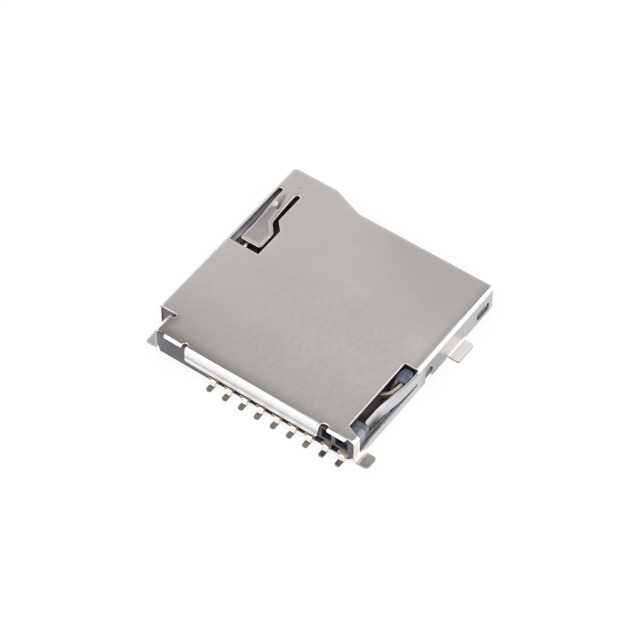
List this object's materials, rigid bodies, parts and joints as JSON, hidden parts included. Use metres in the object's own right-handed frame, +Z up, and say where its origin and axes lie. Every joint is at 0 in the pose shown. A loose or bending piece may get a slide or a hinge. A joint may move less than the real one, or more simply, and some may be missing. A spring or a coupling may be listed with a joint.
{
  "type": "memory card socket",
  "caption": "Surface-mount push-push socket for a small memory card: folded metal shell over a moulded housing with spring contacts, an ejecting slider and a card switch.",
  "frame": {"origin": "on the underside of the housing, midway across the shell, 7 mm behind the straight right-hand part of the mouth", "axes": "+X across the socket to the side with the card switch, +Y out of the mouth, +Z up from the board"},
  "size_m": [0.0161, 0.015, 0.0018],
  "materials": {
    "shell_steel": "nickel-plated stainless sheet, satin on top, bright on the folds",
    "housing_resin": "moulded liquid-crystal polymer, dark grey, satin",
    "contact_plating": "copper alloy, plated",
    "lever_plating": "copper alloy, gold flash",
    "slider_resin": "moulded, dark, smooth",
    "spring_steel": "drawn stainless wire"
  },
  "bodies": {
    "base": {"housing": "housing_resin", "shell": "shell_steel", "contact_1": "contact_plating", "contact_2": "contact_plating", "contact_3": "contact_plating", "contact_4": "contact_plating", "contact_5": "contact_plating", "contact_6": "contact_plating", "contact_7": "contact_plating", "contact_8": "contact_plating", "detect_contact": "contact_plating", "coil_spring": "spring_steel"},
    "carriage": {"slider": "slider_resin"},
    "crank": {"crank_pin": "spring_steel"},
    "lever": {"detect_lever": "lever_plating"}
  },
  "joints": [
    {"name": "slider_push", "type": "slide", "parent": "base", "child": "carriage", "axis": [0, -1, 0], "range_m": [0, 0.003], "stiffness_N_per_m": 120, "springref_m": -0.002, "deforming": ["coil_spring"]},
    {"name": "crank_swing", "type": "hinge", "parent": "base", "child": "crank", "pos_m": [-0.0065, 0.0063, 0], "axis": [0, 0, 1], "range_deg": [0, 7.2]},
    {"name": "lever_swing", "type": "hinge", "parent": "base", "child": "lever", "pos_m": [0.00684, -0.0012, 0], "axis": [0, 0, 1], "range_deg": [0, 6], "stiffness_Nm_per_rad": 0.0014}
  ]
}
